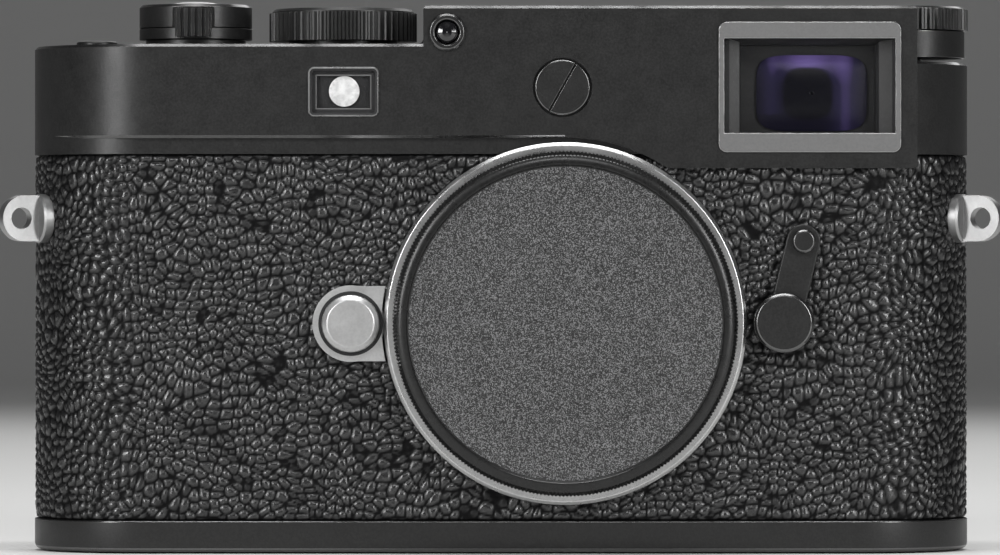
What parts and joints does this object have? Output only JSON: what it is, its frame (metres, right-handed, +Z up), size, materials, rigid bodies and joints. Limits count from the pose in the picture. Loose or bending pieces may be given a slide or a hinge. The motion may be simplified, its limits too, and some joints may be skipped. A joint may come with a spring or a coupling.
{
  "type": "rangefinder camera",
  "caption": "Digital rangefinder camera body with leather wrap, finder and rangefinder windows, bright lens mount with a body cap, and dials on top.",
  "frame": {"origin": "centre of the tripod socket's mouth on the base", "axes": "+X along the body toward the finder window's side, -Y out of the lens mount, +Z up"},
  "size_m": [0.1486, 0.0422, 0.0812],
  "materials": {
    "cast_frame": "satin",
    "shell_paint": "satin",
    "leather": "satin",
    "black_paint": "satin",
    "window_frame_grey": "satin",
    "matt_black": "matte",
    "clear_glass": "glossy",
    "coated_glass": "glossy",
    "display_black": "glossy",
    "bright_metal": "satin",
    "white_disc": "glossy",
    "brass": "satin",
    "roller_steel": "satin",
    "dark_dome": "glossy",
    "cap_plastic": "matte",
    "board": "matte",
    "battery_case": "matte"
  },
  "bodies": {
    "camera": {"chassis": "cast_frame", "body_shell": "shell_paint", "leather_wrap": "leather", "base_plate": "black_paint", "top_cover": "black_paint", "finder_frame": "window_frame_grey", "finder_tunnel": "matt_black", "finder_lens": "coated_glass", "finder_glass": "clear_glass", "finder_block": "clear_glass", "rangefinder_frame": "bright_metal", "rangefinder_mask": "matt_black", "rangefinder_disc": "white_disc", "rangefinder_glass": "clear_glass", "lamp_ring": "black_paint", "lamp_dome": "dark_dome", "cover_screw": "black_paint", "lens_mount": "bright_metal", "mount_screws": "bright_metal", "lock_housing": "bright_metal", "lug_left": "bright_metal", "lug_right": "bright_metal", "release_base": "black_paint", "accessory_shoe": "bright_metal", "eyepiece_ring": "black_paint", "eyepiece_glass": "clear_glass", "display_frame": "matt_black", "display_panel": "display_black", "display_glass": "display_black", "shutter_frame": "cast_frame", "image_sensor": "board", "sensor_glass": "clear_glass", "main_board": "board", "tripod_socket": "bright_metal", "data_port": "bright_metal"},
    "cap": {"body_cap": "cap_plastic"},
    "lock": {"lock_button": "bright_metal", "lock_pin": "bright_metal"},
    "selector": {"frame_lever": "black_paint", "lever_knob": "black_paint", "lever_grip": "black_paint"},
    "switch": {"release_collar": "black_paint"},
    "release": {"release_button": "bright_metal"},
    "speed_dial": {"shutter_dial": "black_paint"},
    "function_key": {"function_button": "black_paint"},
    "iso_lift": {"iso_stem": "black_paint"},
    "iso_dial": {"iso_knob": "black_paint"},
    "play_key": {"play_button": "matt_black"},
    "menu_key": {"menu_button": "matt_black"},
    "pad": {"direction_pad": "matt_black"},
    "centre_key": {"centre_button": "matt_black"},
    "wheel": {"thumb_wheel": "black_paint"},
    "follower": {"rangefinder_arm": "brass", "arm_roller": "roller_steel"},
    "curtain_1": {"blade_1": "matt_black"},
    "curtain_2": {"blade_2": "matt_black"},
    "curtain_3": {"blade_3": "matt_black"},
    "curtain_4": {"blade_4": "matt_black"},
    "power": {"battery": "battery_case"},
    "latch": {"battery_latch": "black_paint"}
  },
  "joints": [
    {"name": "cap_off", "type": "slide", "parent": "camera", "child": "cap", "axis": [0, -1, 0], "range_m": [0, 0.03]},
    {"name": "lens_lock", "type": "slide", "parent": "camera", "child": "lock", "axis": [0, 1, 0], "range_m": [0, 0.0014], "stiffness_N_per_m": 600},
    {"name": "frame_selector", "type": "hinge", "parent": "camera", "child": "selector", "pos_m": [0.0414, -0.018, 0.0337], "axis": [0, 1, 0], "range_deg": [-20, 20], "stiffness_Nm_per_rad": 0.02},
    {"name": "main_switch", "type": "hinge", "parent": "camera", "child": "switch", "pos_m": [-0.0453, -0.005, 0.078], "axis": [0, 0, 1], "range_deg": [0, 30]},
    {"name": "shutter_release", "type": "slide", "parent": "camera", "child": "release", "axis": [0, 0, -1], "range_m": [0, 0.0008], "stiffness_N_per_m": 800},
    {"name": "speed_turn", "type": "hinge", "parent": "camera", "child": "speed_dial", "pos_m": [-0.0235, -0.002, 0.077], "axis": [0, 0, 1], "continuous": true},
    {"name": "function_press", "type": "slide", "parent": "camera", "child": "function_key", "axis": [0, 0, -1], "range_m": [0, 0.0005], "stiffness_N_per_m": 800},
    {"name": "iso_raise", "type": "slide", "parent": "camera", "child": "iso_lift", "axis": [0, 0, 1], "range_m": [0, 0.0015]},
    {"name": "iso_turn", "type": "hinge", "parent": "iso_lift", "child": "iso_dial", "pos_m": [0.0601, 0, 0.078], "axis": [0, 0, 1], "continuous": true},
    {"name": "play_press", "type": "slide", "parent": "camera", "child": "play_key", "axis": [0, -1, 0], "range_m": [0, 0.0004], "stiffness_N_per_m": 800},
    {"name": "menu_press", "type": "slide", "parent": "camera", "child": "menu_key", "axis": [0, -1, 0], "range_m": [0, 0.0004], "stiffness_N_per_m": 800},
    {"name": "pad_press", "type": "slide", "parent": "camera", "child": "pad", "axis": [0, -1, 0], "range_m": [0, 0.0004], "stiffness_N_per_m": 800},
    {"name": "centre_press", "type": "slide", "parent": "pad", "child": "centre_key", "axis": [0, -1, 0], "range_m": [0, 0.0004], "stiffness_N_per_m": 800},
    {"name": "wheel_turn", "type": "hinge", "parent": "camera", "child": "wheel", "pos_m": [-0.044, 0.0115, 0.0626], "axis": [0, 0, 1], "continuous": true},
    {"name": "follower_swing", "type": "hinge", "parent": "camera", "child": "follower", "pos_m": [0.0094, -0.008, 0.0603], "axis": [1, 0, 0], "range_deg": [-4, 4], "stiffness_Nm_per_rad": 0.01},
    {"name": "curtain_run_1", "type": "slide", "parent": "camera", "child": "curtain_1", "axis": [0, 0, -1], "range_m": [0, 0.0082]},
    {"name": "curtain_run_2", "type": "slide", "parent": "camera", "child": "curtain_2", "axis": [0, 0, -1], "range_m": [0, 0.0147]},
    {"name": "curtain_run_3", "type": "slide", "parent": "camera", "child": "curtain_3", "axis": [0, 0, -1], "range_m": [0, 0.0212]},
    {"name": "curtain_run_4", "type": "slide", "parent": "camera", "child": "curtain_4", "axis": [0, 0, -1], "range_m": [0, 0.0277]},
    {"name": "battery_out", "type": "slide", "parent": "camera", "child": "power", "axis": [0, 0, -1], "range_m": [0, 0.05]},
    {"name": "latch_turn", "type": "hinge", "parent": "camera", "child": "latch", "pos_m": [-0.025, 0, 0.001], "axis": [0, 0, 1], "range_deg": [0, 90]}
  ],
  "couplings": [
    {"joint": "curtain_run_1", "follows": "curtain_run_4", "ratio": 0.29603},
    {"joint": "curtain_run_2", "follows": "curtain_run_4", "ratio": 0.53069},
    {"joint": "curtain_run_3", "follows": "curtain_run_4", "ratio": 0.76534}
  ]
}
